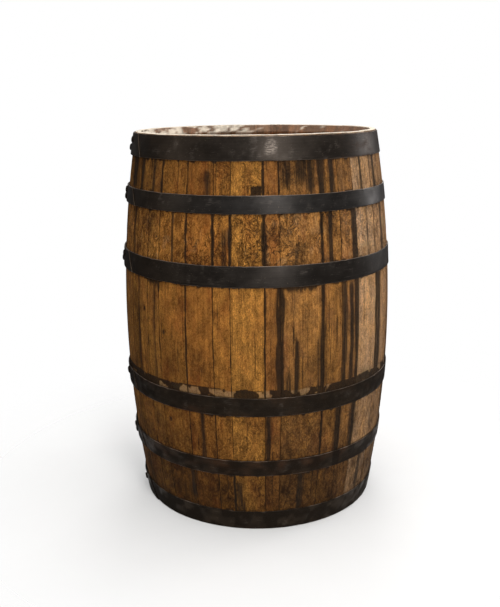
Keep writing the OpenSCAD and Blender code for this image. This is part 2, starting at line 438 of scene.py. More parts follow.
def cracks(across, z, seed, width):
    """Depth from 0 to 1 of a stave's drying cracks, which follow the grain."""
    random = np.random.default_rng(seed)
    depth = np.zeros_like(z)
    for _ in range(5):
        centre = random.uniform(0.1, 0.9) * width
        middle = random.uniform(0.05, HEIGHT - 0.05)
        half = random.uniform(0.012, 0.07)
        path = centre + 3 * MM * (noise(z / 0.03, 0, int(random.integers(1e6))) - 0.5)
        taper = smooth(1 - np.abs(z - middle) / half, 0, 0.5)
        depth = np.maximum(depth, taper * bell(across - path, 0.8 * MM))
    return depth


def dents(t, z):
    """Depth from 0 to 1 of small knocks all round the barrel."""
    cell = smooth(noise(t / 1.7, z / (9 * MM), 611), 0.80, 0.97)
    return cell * smooth(noise(t / 9, z / 0.06, 612), 0.35, 0.7)


def stave(index, name):
    """One stave: worn face, rounded edges, bevelled ends with the croze inside, and its marks."""
    first, last = stave_angles(name)
    seed = 1000 + 37 * index
    random = np.random.default_rng(seed)
    width = (last - first) * BILGE_R
    steps = across_steps(width)
    heights = stave_heights()
    outer = first + steps / BILGE_R
    inner = np.linspace(last, first, 7)
    angle, z = np.meshgrid(np.concatenate([outer, inner]), heights)
    is_outer = np.zeros_like(z)
    is_outer[:, :len(outer)] = 1
    t = facing(angle)
    across = (angle - first) * BILGE_R
    edge = np.minimum(angle - first, last - angle) * outside_r(z)

    # Depth of the worn face below the true outside
    coarse = band_roughness(z)
    knot, knot_far = knot_marks(t, z)
    fibre = rough_noise(across / (2.4 * MM), z / 0.045, seed + 1)
    splinter = noise(across / (1.5 * MM), z / 0.018, seed + 2)
    ripple = noise(across / (26 * MM), z / 0.15, seed + 3)
    saw = smooth(np.abs(z - 0.655), 16 * MM, 6 * MM) * noise(t / 3.5, z / (2.2 * MM), 77)
    split = cracks(across, z, seed + 4, width)
    low_spots = dents(t, z)
    corner = (0.9 + 0.9 * noise(z / 0.02, index, seed + 5) + 0.6 * noise(z / 0.004, index, seed + 6)) * MM
    corner = corner * (1 - 0.25 * np.exp(-np.minimum(z, HEIGHT - z) / 0.01))
    depth = (0.10 + 0.25 * ripple + coarse * (0.30 * fibre + 0.16 * splinter) + 0.5 * saw) * MM
    depth = depth + 0.9 * MM * split + 0.6 * MM * low_spots + eased(corner, edge)
    depth = depth - 0.25 * MM * knot + 0.7 * MM * bell(knot_far, 2 * MM)
    step_down = random.uniform(0, 0.45) * MM
    depth = np.maximum(depth + step_down, 0.02 * MM)
    end = np.minimum(z, HEIGHT - z)
    chamfer = (2.2 + 0.9 * noise(t / 1.3, 0, seed + 7)) * MM
    depth = depth + eased(chamfer, end)

    bore_wear = 0.5 * MM * rough_noise(np.degrees(angle) / 2.5, z / 0.03, seed + 8)
    radius = np.where(is_outer > 0, outside_r(z) - depth, outside_r(z) - wall(z) + bore_wear)
    foot_lift, top_drop = random.uniform(0.0, 0.3), random.uniform(0.1, 0.9)
    lift = (foot_lift * (1 - smooth(z, 0, 0.1)) - top_drop * smooth(z, 0.8, 0.9)) * MM
    rings = np.stack([radius * np.cos(angle), radius * np.sin(angle), z + lift], -1)

    # Stain with painted shadow below the hoops, pale wear, and grime with painted shade beside the hoops
    seam_noise = rough_noise(z / 0.03, index, 700)
    leak = leak_width(t, z) * (0.30 + 0.35 * noise(z / 0.014, index, 702))
    seam = (0.55 + 1.5 * smooth(seam_noise, 0.45, 0.85)) * MM + leak
    seam_strength = np.maximum(0.60 + 0.40 * noise(z / 0.04, index, 703), smooth(leak, 0, 2 * MM))
    at_seam = smooth(-edge / seam, -1.5, -0.15) * seam_strength
    tannin = smooth(rough_noise(t / 0.55, z / 0.16, 710), 0.66, 0.84)
    tannin = tannin * smooth(noise(t / 7, z / 0.12, 711), 0.4, 0.8)
    black_band, pale_band = old_hoop_band(t, z)
    # The stain holds the dark fringe below each hoop, which is stain and painted shadow of the hoop
    # together
    stain = np.maximum.reduce([at_seam, 0.7 * tannin, hoop_stain_and_shadow(t, z), black_band, hoop_scar(t, z),
                               drawn_streaks(t, z), 0.8 * split, 0.9 * bell(knot_far, 4.5 * MM)])
    dusty = smooth(rough_noise(t / 3.5, z / (9 * MM), 733), 0.42, 0.62) * smooth(-t, 75, 100)
    dust_specks = 0.8 * smooth(rough_noise(t / 2.0, z / (8 * MM), 734), 0.66, 0.74)
    dusty = np.maximum(dusty, dust_specks * smooth(t, 110, 140))
    stain = np.where(is_outer > 0, stain, 0.18)
    pale = np.where(is_outer > 0, np.maximum(scuff_marks(t, z), 0.9 * pale_band), 0)
    rubbed = smooth(noise(t / 2.2, z / 0.02, 720), 0.72, 0.95) * smooth(coarse, 1, 1.8)
    pale = np.maximum(pale, 0.35 * rubbed)
    # Grime: darker towards the foot, in random patches, along the seams and a little in the top band, and
    # beside every hoop, where the darkening is dirt and painted shade of the hoop together
    grime_and_shade = smooth(-z, -0.34, 0.02) * 0.8 + 0.45 * smooth(rough_noise(t / 6, z / 0.05, 730), 0.48, 0.75)
    seam_grime = 0.45 * np.exp(-edge / (3.5 * MM)) * smooth(seam_noise, 0.25, 0.7)
    grime_and_shade = np.maximum.reduce([grime_and_shade, 0.62 * smooth(-z, -0.16, -0.10), 0.15 * smooth(z, 0.765, 0.785),
                               0.55 * near_hoop_dirt_and_shade(z), seam_grime])
    marks = np.stack([stain, pale, np.clip(grime_and_shade, 0, 1)], -1)

    # Tone, greyness and end grain, then char, crazing and redness
    tone, grey, red = random.uniform(-0.3, 0.3), random.uniform(0.05, 0.35), random.uniform(0, 0.4)
    if index < len(FRONT_TONES):
        tone, grey, red = FRONT_TONES[index]
    by_height = np.interp(z, *np.array(HEIGHT_TONES).T) + 0.22 * (noise(z / 0.16, index, 740) - 0.5)
    bevel = smooth(-end, -0.020, -0.017)
    end_grain = smooth(-end, -1.6 * MM, -0.4 * MM) + np.where(is_outer > 0, 0, (0.10 + 0.8 * dusty) * bevel)
    kind = np.stack([tone + by_height, np.full_like(z, grey), np.clip(end_grain, 0, 1)], -1)
    char = np.where(is_outer > 0, 0, smooth(end, 0.050, 0.056))
    crazed = smooth(coarse, 0.5, 1.7)
    surface = np.stack([char, crazed, np.where(is_outer > 0, red, 0.75)], -1)

    # Grain: straight or arched rings, bent round the knots
    arched, peak, middle = 1.0, 0.5, 0.5
    if index != ARCHED_STAVE:
        arched = random.uniform(-0.25, 1.0)
        peak = random.uniform(0.2, 0.8)
        middle = random.uniform(0.35, 0.65)
    arch = np.sqrt(((across / width - middle) * width * 3.2) ** 2 + (0.10 * (z - peak)) ** 2 + 1e-6)
    bend = 6 * MM * (noise(z / 0.22, index, seed + 9) - 0.5)
    straight = across + bend
    ring = np.where(arched > 0.45, arch, straight) / (3.4 * MM)
    ring = ring * (1 - knot) + knot * knot_far / (2.2 * MM)
    grain_across = across + bend * 0.5 + 0.4 * knot * knot_far + 3.1 * index
    grain = np.stack([grain_across, z + 1.7 * index, ring + 9.0 * index], -1)
    layers = {"grain": grain, "marks": marks, "kind": kind, "surface": surface}
    return ring_mesh("oak_" + name, rings, layers)


def carry_layers(source, target):
    """Gives each vertex the values of the nearest vertex of the mesh that it was cut from."""
    tree = KDTree(len(source.vertices))
    for vertex in source.vertices:
        tree.insert(vertex.co, vertex.index)
    tree.balance()
    nearest = [tree.find(vertex.co)[1] for vertex in target.vertices]
    for layer in ("grain", "marks", "kind", "surface"):
        values = np.empty(len(source.vertices) * 3, np.float32)
        source.attributes[layer].data.foreach_get("vector", values)
        target.attributes[layer].data.foreach_set("vector", values.reshape(-1, 3)[nearest].ravel())


def cut_bung_hole(piece):
    """Cuts the bung's tapered hole out of its stave and burns the edge of the hole."""
    inner_y, outer_y, inner_r, outer_r = bung_taper()
    slope = (outer_r - inner_r) / (outer_y - inner_y)
    stations = np.array([inner_y - CUTTER_PAST, outer_y + CUTTER_PAST])
    radii = inner_r + (stations - inner_y) * slope + BUNG_PLAY
    cutter = turned("bung_cutter", np.stack([radii, stations], -1), bung_axis(), 96)
    cut = piece.modifiers.new("bung_hole", "BOOLEAN")
    cut.object = cutter
    cut.operation = "DIFFERENCE"
    cut.solver = "EXACT"
    scene_graph = bpy.context.evaluated_depsgraph_get()
    mesh = bpy.data.meshes.new_from_object(
        piece.evaluated_get(scene_graph), preserve_all_data_layers=True, depsgraph=scene_graph)
    carry_layers(piece.data, mesh)
    piece.modifiers.clear()
    piece.data = mesh
    bpy.data.objects.remove(cutter)
    surface = mesh.attributes["surface"].data
    marks = mesh.attributes["marks"].data
    for vertex in mesh.vertices:
        point = vertex.co
        away = math.hypot(point.x, point.z - HEIGHT / 2)
        hole = inner_r + (point.y - inner_y) * slope
        if point.y > 0 and away < hole + 0.3 * MM:
            surface[vertex.index].vector[0] = 0.8
        near = float(smooth(hole + SCORCH_REACH - away, 0, SCORCH_REACH))
        stain = marks[vertex.index].vector
        stain[0] = max(stain[0], 0.85 * near)


# ---- turned pieces

def turned(name, profile, matrix, around, layers=None, wobble=0.0, seed=0):
    """A solid of revolution from (radius, distance along the axis) points, moved by a matrix."""
    angle = np.linspace(0, 2 * np.pi, around, endpoint=False)
    radius = profile[:, :1] * (1 + wobble * (noise(angle[None, :] * 1.4, profile[:, 1:] * 300, seed) - 0.5))
    x = radius * np.cos(angle)
    y = radius * np.sin(angle)
    z = np.broadcast_to(profile[:, 1:], x.shape)
    flat = np.stack([x, y, z, np.ones_like(x)], -1) @ np.array(matrix).T
    return ring_mesh(name, flat[..., :3], layers(x, y, z) if layers else {})


def bung_axis():
    """Matrix that lays the Z axis of a turned piece along +Y at the bilge."""
    return Matrix(((1, 0, 0, 0), (0, 0, 1, 0), (0, -1, 0, HEIGHT / 2), (0, 0, 0, 1)))


def bung_taper():
    """Distances of the bung's ends along +Y, and its radius at each."""
    points = node_points("bung")
    radius = np.hypot(points[:, 0], points[:, 2] - HEIGHT / 2)
    low, high = points[:, 1].min(), points[:, 1].max()
    inner = radius[np.abs(points[:, 1] - low) < 0.1 * MM].max()
    outer = radius[np.abs(points[:, 1] - high) < 0.1 * MM].max()
    return low, high, inner, outer


def bung():
    """The tapered bung, with its edges eased, a dished outer face and faint tool marks."""
    low, high, inner, outer = bung_taper()
    taper = [(inner - 1.5 * MM, low), (inner - 0.4 * MM, low + 0.4 * MM)]
    for share in np.linspace(0.04, 0.93, 24):
        marks = 0.12 * MM * noise(share * 60, 0, 31)
        taper.append((inner + (outer - inner) * share - marks - 0.02 * MM, low + (high - low) * share))
    face = [(outer - 0.3 * MM, high - 1.2 * MM), (outer - 1.0 * MM, high - 0.3 * MM),
            (outer - 2.2 * MM, high), (outer - 8 * MM, high - 0.15 * MM),
            (outer - 15 * MM, high - 0.35 * MM), (2 * MM, high - 0.5 * MM)]

    def layers(x, y, z):
        ring = np.hypot(x - 0.05, y) / (3 * MM)
        grain = np.stack([x, y * 3 + z, ring], -1)
        rim = smooth(np.hypot(x, y), outer - 4 * MM, outer)
        dirt = smooth(rough_noise(x / (6 * MM), y / (6 * MM), 41), 0.4, 0.8)
        marks = np.stack([0.5 * rim, 0.4 * (1 - dirt), 0.45 * dirt], -1)
        wet = smooth(-z, -low - 0.012, -low)
        end_grain = smooth(z, high - 2 * MM, high - 0.5 * MM)
        kind = np.stack([0.25 - 0.8 * wet, np.full_like(x, 0.2), end_grain], -1)
        return {"grain": grain, "marks": marks, "kind": kind, "surface": np.zeros((*x.shape, 3))}

    profile = np.array(taper + face)
    return turned("bung_turned", profile, bung_axis(), 96, layers)


# ---- hoops and rivets

# Rust, blueness and dirt of each hoop, from the bottom one up
HOOP_LOOKS = [(0.25, 0.0, 1.3), (0.6, 0.0, 0.95), (0.45, 0.05, 0.9),
              (0.12, 0.7, 0.2), (0.14, 0.95, 0.15), (0.2, 0.5, 0.2)]
# Corners of a hoop's section: share of the width, and share of the thickness
STRIP_SECTION = [(0, 0.25), (0, 0.75), (0.008, 0.95), (0.03, 1), (0.10, 1), (0.2, 1), (0.35, 1),
                 (0.5, 1), (0.65, 1), (0.8, 1), (0.9, 1), (0.97, 1), (0.992, 0.95), (1, 0.75), (1, 0.25),
                 (0.985, 0), (0.5, 0), (0.015, 0)]


def lap_direction(hoop):
    """Angle of the middle of a hoop's lap, in radians from +X."""
    low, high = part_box(hoop + "_rivets")
    middle = (low + high) / 2
    return math.atan2(middle.y, middle.x)


def hoop(h, name):
    """A hoop as one strip whose outer end laps over its start, cut on a slant."""
    low, high = HOOP_SPANS[h]
    width = high - low
    radius = float(outside_r(low))
    lap = LAP_LENGTH / radius
    ramp = RAMP_LENGTH / radius
    turn = 2 * math.pi
    start = lap_direction(name) - lap / 2
    travel = np.concatenate([np.linspace(0, turn - ramp, HOOP_STEPS, endpoint=False),
                             np.linspace(turn - ramp, turn + lap, LAP_STEPS)])
    share, thick = np.array(STRIP_SECTION).T
    along, w = np.meshgrid(travel, share, indexing="ij")
    _, thick = np.meshgrid(travel, thick, indexing="ij")
    slant = 0.6 * width / radius
    along = along + slant * (0.5 - w) * smooth(along, turn + lap - 2.5 * slant, turn + lap)
    along = along - slant * (0.5 - w) * smooth(-along, -2 * slant, 0)
    angle = start + along
    t = facing(angle)

    # Edges that wander a little and are beaten in where the driver struck
    wander = 0.9 * MM * (noise(t / 22, 0, 800 + h) - 0.5) + 0.35 * MM * (noise(t / 3.5, 0, 810 + h) - 0.5)
    struck = smooth(noise(t / 2.3, 0, 820 + h), 0.72, 0.95)
    at_top = smooth(w, 0.75, 1)
    at_low = smooth(1 - w, 0.75, 1)
    z = low + w * width + wander * (at_top + at_low) - 0.7 * MM * struck * at_top
    z = np.clip(z, 0.5 * MM, HEIGHT - 1.2 * MM)
    over = smooth(along, turn - ramp, turn) * (HOOP_T + 0.15 * MM)
    flare = 0.35 * MM * struck * at_top - 0.25 * MM * smooth(noise(t / 6, w * 2, 830 + h), 0.3, 0.9)
    buckle = 0.22 * MM * noise(t / 7, w * 1.5, 840 + h)
    r = outside_r(z) + HOOP_PLAY + over + thick * HOOP_T + buckle + np.minimum(flare, 0.4 * MM) * thick
    rings = np.stack([r * np.cos(angle), r * np.sin(angle), z], -1)

    rust, blue, dirt = HOOP_LOOKS[h]
    edge = np.minimum(w, 1 - w) * width
    rusty = rust * (0.45 + 0.75 * rough_noise(t / 8, w * 1.5, 850 + h)) + 0.25 * smooth(-edge, -3 * MM, 0)
    scuff = smooth(rough_noise(t / 3, w * 3, 860 + h), 0.62, 0.8) * 0.5
    if h == TOP_HEAD:
        patch = np.hypot((t - 6) / 3.2, (w - 0.55) / 0.4) + 0.7 * (rough_noise(t / 1.2, w * 4, 870) - 0.5)
        scuff = np.maximum(scuff, smooth(-patch, -1, -0.4))
        rusty = rusty + 0.25 * between(t, 20, 45, 60, 90)
    grime_and_shade = np.clip(dirt * smooth(rough_noise(t / 5, w * 2.5, 880 + h), 0.2, 0.65), 0, 1)
    if h == LOWER_QUARTER:
        grime_and_shade = np.maximum(grime_and_shade, smooth(-np.abs(t - 35), -3, -1.5))
    strip = np.stack([along * radius + 3 * h, w * width, edge / (2.2 * MM)], -1)
    wear = np.stack([np.clip(rusty, 0, 1), scuff, grime_and_shade], -1)
    layers = {"strip": strip, "wear": wear, "blue": blue * smooth(t, -70, -5)}
    return ring_mesh("strip_" + name, rings, layers, sharp=50)


def rivets(h, name):
    """A hoop's two rivets as one piece: shank and hammered dome."""
    points = node_points(name)
    sunk = 0.05 * MM
    rim_h = 0.5 * MM
    bend = np.linspace(0, 1, 9)[:-1] * math.pi / 2
    dome_z = rim_h + (RIVET_HEAD_H - rim_h) * np.sin(bend)
    dome = np.stack([RIVET_HEAD_R * np.cos(bend) ** 0.85, dome_z], -1)
    shank = [(RIVET_SHANK_R, -2 * HOOP_T), (RIVET_SHANK_R, -sunk), (RIVET_HEAD_R * 0.97, -sunk)]
    profile = np.concatenate([shank, dome])
    middle = (points[:, 2].min() + points[:, 2].max()) / 2
    domes = []
    for low in (True, False):
        own = points[(points[:, 2] < middle) == low]
        centre = Vector((own.min(0) + own.max(0)) / 2)
        lean = math.asin((centre.z - HEIGHT / 2) / ARC_R)
        out = Vector((centre.x, centre.y, 0)).normalized() * math.cos(lean) + Vector((0, 0, math.sin(lean)))
        side = out.cross(Vector((0, 0, 1))).normalized()
        seat = float(outside_r(centre.z)) + HOOP_PLAY + 2 * HOOP_T + 0.35 * MM
        base = Vector((out.x, out.y, 0)).normalized() * seat
        base.z = centre.z
        matrix = Matrix((side, out.cross(side), out)).transposed().to_4x4()
        matrix.translation = base

        def layers(x, y, z):
            ones = np.ones_like(x)
            worn = smooth(z, 2.2 * MM, RIVET_HEAD_H)
            wear = np.stack([HOOP_LOOKS[h][0] * 0.6 * ones, 0.75 * worn, 0.4 * (1 - worn)], -1)
            strip = np.stack([x + h, y, 2 * ones], -1)
            return {"strip": strip, "wear": wear, "blue": 0.3 * ones}

        label = name if low else name + "_upper"
        domes.append(turned("head_" + label, profile, matrix, 28, layers, 0.12, 900 + 2 * h + low))
    lower, upper = domes
    with bpy.context.temp_override(active_object=lower, selected_editable_objects=[lower, upper]):
        bpy.ops.object.join()
    return lower


# ---- heads

def head_board(name, turn, is_top, index):
    """One board of a head: bevelled round the rim, eased at its joints, worn and stained."""
    points = node_points(name)
    across_all = -points[:, 0] * math.sin(turn) + points[:, 1] * math.cos(turn)
    limit = HEAD_R - 1.2 * MM
    low = max(across_all.min(), -limit)
    high = min(across_all.max(), limit)
    seed = 3000 + 100 * is_top + index
    random = np.random.default_rng(seed)
    rows = np.concatenate([low + np.array([0, 0.3, 0.8, 1.5, 2.6]) * MM,
                           np.linspace(low + 4 * MM, high - 4 * MM, max(3, int((high - low) / (2.5 * MM)))),
                           high - np.array([2.6, 1.5, 0.8, 0.3, 0]) * MM])
    faces = np.sin(np.linspace(-np.pi / 2, np.pi / 2, 131))
    columns = np.concatenate([faces, np.linspace(0.999, -0.999, 31)])
    share, v = np.meshgrid(columns, rows)
    chord = np.sqrt(HEAD_R ** 2 - v ** 2)
    u = share * chord
    rim = HEAD_R - np.hypot(u, v)
    outer_side = np.zeros_like(u, bool)
    outer_side[:, :len(faces)] = True
    half_tongue = TONGUE_T / 2
    outer_z = np.interp(rim, [0, BEVEL_OUTER], [half_tongue, HEAD_T / 2])
    inner_z = -np.interp(rim, [0, BEVEL_INNER], [half_tongue, HEAD_T / 2])
    joint = np.minimum(v - rows[0], rows[-1] - v)
    corner = (0.9 + 0.7 * noise(u / 0.02, index, seed)) * MM
    fibre = rough_noise(v / (2.5 * MM), u / 0.06, seed + 1)
    cup = 0.5 * noise(v / 0.05, u / 0.2, seed + 2)
    worn = (0.35 * fibre + cup + random.uniform(0, 0.5)) * MM + eased(corner, joint)
    fade = smooth(rim, 1 * MM, 6 * MM)
    z = np.where(outer_side, outer_z - worn * fade, inner_z)
    croze = (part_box(name)[0].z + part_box(name)[1].z) / 2
    x = u * math.cos(turn) - v * math.sin(turn)
    y = u * math.sin(turn) + v * math.cos(turn)
    rings = np.stack([x, y, croze + (z if is_top else -z)], -1)

    seam = (1.2 + 4 * smooth(rough_noise(u / 0.04, index, seed + 3), 0.45, 0.85)) * MM
    at_joint = 0.85 * smooth(-joint / seam, -1.1, -0.1)
    at_rim = 0.7 * smooth(-rim, -0.024 - 0.012 * noise(np.degrees(np.arctan2(y, x)) / 5, 0, 71), -0.004)
    spots = smooth(rough_noise(x / 0.05, y / 0.05, 72), 0.55, 0.85) * 0.38
    ring_stain = bell(np.hypot(x - 0.06, y + 0.05) - 0.085, 3 * MM) * 0.4 * noise(x / 0.03, y / 0.03, 73)
    stain = np.maximum.reduce([at_joint, at_rim, spots, ring_stain])
    pale = 0.6 * smooth(rough_noise(x / 0.08, y / 0.08, 74), 0.5, 0.8)
    grime_and_shade = 0.35 + 0.4 * smooth(rough_noise(x / 0.11, y / 0.11, 75), 0.35, 0.75)
    marks = np.stack([stain, pale * outer_side, grime_and_shade], -1)
    tone, grey = random.uniform(-0.25, 0.15), random.uniform(0.3, 0.6)
    kind = np.zeros_like(u)[..., None] + [tone, grey, 0]
    bend = 8 * MM * (noise(u / 0.25, index, seed + 4) - 0.5)
    ring = (v + bend) / (3.2 * MM)
    if index % 2:
        ring = np.sqrt(((v - (low + high) / 2) * 3) ** 2 + (0.12 * (u - 0.05)) ** 2) / (3.2 * MM)
    grain = np.stack([v + bend * 0.5 + 2.3 * index + 100, u + 1.1 * index, ring], -1)
    surface = np.stack([np.where(outer_side, 0, 1.0), np.full_like(u, 0.3), np.full_like(u, 0.1)], -1)
    layers = {"grain": grain, "marks": marks, "kind": kind, "surface": surface}
    return ring_mesh("plank_" + name, rings, layers, flip=not is_top)


# ---- materials

class Shade:
    """Builds the nodes of a material, or of the world, with short calls."""

    def __init__(self, owner):
        owner.use_nodes = True
        self.owner = owner
        self.tree = owner.node_tree
        self.shader = self.tree.nodes.get("Principled BSDF")

    def give(self, socket, value):
        if isinstance(value, bpy.types.NodeSocket):
            self.tree.links.new(value, socket)
        else:
            socket.default_value = value

    def node(self, kind, inputs=None, **settings):
        """A new node with its settings, and its inputs by name or place."""
        node = self.tree.nodes.new("ShaderNode" + kind)
        for key, value in settings.items():
            setattr(node, key, value)
        for key, value in (inputs or {}).items():
            self.give(node.inputs[key], value)
        return node

    def attribute(self, name, vector=True):
        return self.node("Attribute", attribute_name=name).outputs["Vector" if vector else "Fac"]

    def parts(self, vector):
        return self.node("SeparateXYZ", {0: vector}).outputs[:]

    def vector(self, x, y, z):
        return self.node("CombineXYZ", {0: x, 1: y, 2: z}).outputs[0]

    def maths(self, operation, a, b=0.0, clamp=False):
        return self.node("Math", {0: a, 1: b}, operation=operation, use_clamp=clamp).outputs[0]

    def plus(self, a, b, clamp=False):
        return self.maths("ADD", a, b, clamp)

    def minus(self, a, b):
        return self.maths("SUBTRACT", a, b)

    def times(self, a, b):
        return self.maths("MULTIPLY", a, b)

    def swing(self, value, size):
        """Noise moved to swing about zero."""
        return self.times(self.minus(value, 0.5), size)

    def contour(self, value, width):
        """Thin lines where noise passes through its middle."""
        return self.remap(self.maths("ABSOLUTE", self.minus(value, 0.5)), 0.0, width, 1.0, 0.0)

    def noise(self, vector, scale, detail=2.0, roughness=0.5, distortion=0.0):
        stretch = self.node("VectorMath", {0: vector, 1: scale}, operation="MULTIPLY")
        inputs = {"Vector": stretch.outputs[0], "Scale": 1.0, "Detail": detail,
                  "Roughness": roughness, "Distortion": distortion}
        return self.node("TexNoise", inputs).outputs["Fac"]

    def remap(self, value, low, high, to_low=0.0, to_high=1.0, interpolation="SMOOTHSTEP"):
        inputs = {"Value": value, "From Min": low, "From Max": high, "To Min": to_low, "To Max": to_high}
        return self.node("MapRange", inputs, interpolation_type=interpolation).outputs["Result"]

    def mix(self, share, a, b):
        return self.node("Mix", {0: share, 6: a, 7: b}, data_type="RGBA").outputs[2]

    def brighten(self, colour, value):
        return self.node("HueSaturation", {"Value": value, "Color": colour}).outputs["Color"]

    def bump(self, height, distance, strength):
        node = self.node("Bump", {"Strength": strength, "Distance": distance, "Height": height})
        self.give(self.shader.inputs["Normal"], node.outputs["Normal"])

    def finish(self, colour, roughness, metallic=0.0):
        self.give(self.shader.inputs["Base Color"], colour)
        self.give(self.shader.inputs["Roughness"], roughness)
        self.give(self.shader.inputs["Metallic"], metallic)
        return self.owner


def rgb(red, green, blue):
    """A shader colour from screen values of 0 to 255."""
    screen = np.array([red, green, blue]) / 255
    linear = np.where(screen <= 0.04045, screen / 12.92, ((screen + 0.055) / 1.055) ** 2.4)
    return (*linear.tolist(), 1.0)


def oak_material(name, light, dark, red):
    """Weathered oak: mottled and crazed, with rings and fibres, then tone, grime, stain and wear; on the
    staves the grime also holds painted shade beside the hoops, and the stain painted shadow below them.
    """
    s = Shade(bpy.data.materials.new(name))
    grain = s.attribute("grain")
    stain, pale, grime_and_shade = s.parts(s.attribute("marks"))
    tone, grey, end = s.parts(s.attribute("kind"))
    char, crazed, redness = s.parts(s.attribute("surface"))
    _, along, ring = s.parts(grain)
    ring_line = s.noise(s.vector(ring, along, 0.0), (1.0, 1.2, 1.0), 2.0, 0.6)
    fibre = s.noise(grain, (900, 30, 0), 4.0, 0.65)
    streak = s.noise(grain, (150, 3.2, 0), 3.0, 0.6)
    patch = s.noise(grain, (24, 9, 0), 3.0, 0.6)
    broad = s.noise(grain, (46, 24, 0), 3.0, 0.6, 0.6)
    mottle = s.noise(grain, (95, 48, 0), 5.0, 0.68, 1.0)
    flake = s.noise(grain, (480, 270, 0), 4.0, 0.75, 0.8)
    pore = s.remap(s.noise(grain, (1500, 90, 0), 1.0), 0.60, 0.70)
    fine = s.noise(grain, (95, 60, 0), 4.0, 0.6, 1.6)
    wide = s.noise(grain, (30, 23, 0), 4.0, 0.58, 2.0)
    fine_line = s.contour(fine, 0.034)
    wide_line = s.contour(wide, 0.030)
    where_fine = s.remap(s.noise(grain, (21, 13, 0), 2.0), 0.44, 0.58)
    where_wide = s.remap(s.noise(grain, (13, 8, 0), 2.0), 0.44, 0.54)
    craze = s.maths("MAXIMUM", s.times(fine_line, where_fine), s.times(wide_line, where_wide))
    craze = s.times(craze, s.remap(crazed, 0.0, 1.0, 0.35, 1.0))

    rings = s.remap(ring_line, 0.34, 0.66)
    late = s.plus(s.times(rings, 0.14), s.times(s.remap(streak, 0.3, 0.7), 0.16))
    late = s.plus(late, s.times(s.remap(mottle, 0.32, 0.64), 0.26))
    late = s.plus(late, s.times(s.remap(flake, 0.37, 0.60), 0.44))
    coarse_late = s.times(s.remap(mottle, 0.38, 0.60, 0.3, 1.0), s.remap(flake, 0.40, 0.58, 0.15, 1.0))
    late = s.mix(s.times(crazed, 0.6), late, coarse_late)
    colour = s.mix(late, dark, light)
    reddish = s.plus(s.times(s.remap(patch, 0.46, 0.72), 0.40), redness, True)
    colour = s.mix(reddish, colour, red)
    colour = s.brighten(colour, s.remap(broad, 0.32, 0.68, 0.76, 1.20))
    colour = s.mix(s.times(craze, 0.85), colour, rgb(40, 22, 10))
    colour = s.mix(s.times(pore, 0.45), colour, rgb(50, 29, 13))
    grey_share = s.times(grey, s.remap(patch, 0.2, 0.75, 0.55, 1.0))
    colour = s.mix(grey_share, colour, s.mix(late, rgb(78, 60, 42), rgb(218, 188, 156)))
    value = s.plus(1.0, tone)
    colour = s.brighten(colour, s.times(value, s.remap(streak, 0.2, 0.8, 0.90, 1.08)))
    chipped = s.times(pale, s.remap(flake, 0.3, 0.6, 0.2, 0.85))
    colour = s.mix(chipped, colour, rgb(184, 150, 108))
    # Dirt, and on the staves painted shade beside the hoops, both in one dark brown
    dirt_and_shade = s.times(grime_and_shade, s.remap(mottle, 0.30, 0.65, 0.95, 0.40))
    colour = s.mix(dirt_and_shade, colour, rgb(44, 27, 13))
    # Black stain, which below the hoops also paints the hoops' shadow
    ragged = s.plus(stain, s.swing(flake, 0.45))
    ragged = s.plus(ragged, s.swing(fibre, 1.0))
    black = s.times(s.remap(ragged, 0.06, 0.80), s.remap(stain, 0.02, 0.2))
    colour = s.mix(s.times(black, 0.90), colour, rgb(36, 29, 22))
    ends = s.mix(s.noise(grain, (700, 700, 0), 3.0, 0.6), rgb(238, 218, 188), rgb(255, 250, 238))
    colour = s.mix(s.times(end, s.remap(patch, 0.1, 0.6, 0.75, 1.0)), colour, ends)
    charred = s.mix(s.noise(grain, (160, 110, 0), 2.0), rgb(14, 12, 11), rgb(44, 38, 34))
    colour = s.mix(char, colour, charred)

    rough = s.remap(flake, 0.3, 0.7, 0.90, 0.72)
    rough = s.minus(rough, s.times(black, 0.12))
    deep = s.plus(s.times(fibre, 0.5), s.times(rings, 0.15))
    deep = s.minus(deep, s.times(pore, 0.25))
    deep = s.plus(deep, s.times(s.plus(flake, mottle), 1.1))
    deep = s.minus(deep, s.times(craze, 1.1))
    s.bump(deep, 1.5 * MM, 1.0)
    s.shader.inputs["Specular IOR Level"].default_value = 0.12
    return s.finish(colour, rough)


